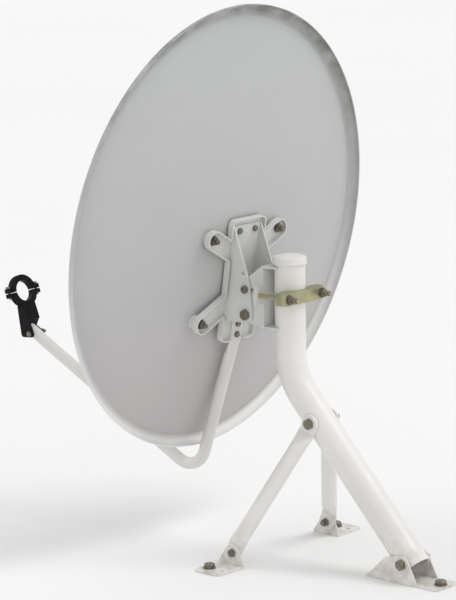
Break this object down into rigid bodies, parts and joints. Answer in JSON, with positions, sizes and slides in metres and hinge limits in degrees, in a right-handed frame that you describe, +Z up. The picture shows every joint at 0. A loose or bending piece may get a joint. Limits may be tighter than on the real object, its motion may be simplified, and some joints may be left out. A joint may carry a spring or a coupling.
{
  "type": "satellite dish on ground stand",
  "caption": "Offset satellite dish on a bent mast with two side struts and hinged feet, clamped azimuth and elevation head, and a hooked feed arm with an empty LNB ring",
  "frame": {"origin": "on the ground, directly under the upright part of the mast", "axes": "+Z up, the dish faces -Y, the mast's foot is towards +Y, +X is the stand's left side seen from behind the dish, X = 0 is the plane of symmetry"},
  "size_m": [0.7499, 1.0356, 0.9676],
  "materials": {
    "reflector_coat": "satin",
    "arm_coat": "satin",
    "frame_coat": "satin",
    "stand_coat": "satin",
    "zinc_yellow": "satin",
    "zinc_fastener": "satin",
    "white_plastic": "satin",
    "black_plastic": "matte"
  },
  "bodies": {
    "mast": {"mast_tube": "stand_coat", "mast_cap": "white_plastic", "strut_pivot_bolt": "zinc_fastener", "strut_pivot_nut": "zinc_fastener"},
    "azimuth_head": {"mast_bracket": "frame_coat", "clamp_jaw": "zinc_yellow", "clamp_bolts": "zinc_yellow", "clamp_nuts": "zinc_fastener", "elevation_pivot_bolt": "zinc_fastener", "elevation_pivot_nut": "zinc_fastener"},
    "dish": {"reflector": "reflector_coat", "back_frame": "frame_coat", "reflector_bolts": "zinc_fastener", "reflector_nuts": "zinc_fastener", "tilt_channel": "frame_coat", "tilt_channel_bolts": "zinc_fastener", "elevation_lock_bolt": "zinc_fastener", "elevation_lock_nut": "zinc_fastener", "feed_arm": "arm_coat", "feed_arm_bolts": "zinc_fastener", "feed_arm_plug": "black_plastic", "lnb_holder": "black_plastic", "lnb_clamp_cap": "black_plastic", "lnb_clamp_screws": "zinc_fastener", "lnb_holder_bolt": "zinc_fastener", "lnb_holder_nut": "zinc_fastener"},
    "left_strut": {"left_strut": "stand_coat", "left_foot_bolt": "zinc_fastener", "left_foot_nut": "zinc_fastener"},
    "right_strut": {"right_strut": "stand_coat", "right_foot_bolt": "zinc_fastener", "right_foot_nut": "zinc_fastener"},
    "left_foot": {"left_foot_bracket": "stand_coat", "left_anchor_bolt": "zinc_fastener"},
    "right_foot": {"right_foot_bracket": "stand_coat", "right_anchor_bolt": "zinc_fastener"},
    "mast_foot": {"mast_foot": "stand_coat", "mast_foot_bolt": "zinc_fastener", "mast_foot_nut": "zinc_fastener", "mast_anchor_bolt": "zinc_fastener"}
  },
  "joints": [
    {"name": "azimuth", "type": "hinge", "parent": "mast", "child": "azimuth_head", "pos_m": [0, 0, 0.468], "axis": [0, 0, 1], "range_deg": [-60, 60]},
    {"name": "elevation", "type": "hinge", "parent": "azimuth_head", "child": "dish", "pos_m": [0, -0.072, 0.428], "axis": [1, 0, 0], "range_deg": [-20, 20]},
    {"name": "left_strut_swing", "type": "hinge", "parent": "mast", "child": "left_strut", "pos_m": [0.0294, 0.06684, 0.25033], "axis": [1, 0, 0], "range_deg": [-20, 60]},
    {"name": "right_strut_swing", "type": "hinge", "parent": "mast", "child": "right_strut", "pos_m": [-0.0294, 0.06684, 0.25033], "axis": [1, 0, 0], "range_deg": [-20, 60]},
    {"name": "left_foot_tilt", "type": "hinge", "parent": "left_strut", "child": "left_foot", "pos_m": [0.128, -0.028, 0.024], "axis": [1, 0, 0], "range_deg": [-45, 45]},
    {"name": "right_foot_tilt", "type": "hinge", "parent": "right_strut", "child": "right_foot", "pos_m": [-0.128, -0.028, 0.024], "axis": [1, 0, 0], "range_deg": [-45, 45]},
    {"name": "mast_foot_tilt", "type": "hinge", "parent": "mast", "child": "mast_foot", "pos_m": [0, 0.26856, 0.034], "axis": [1, 0, 0], "range_deg": [-45, 45]}
  ]
}
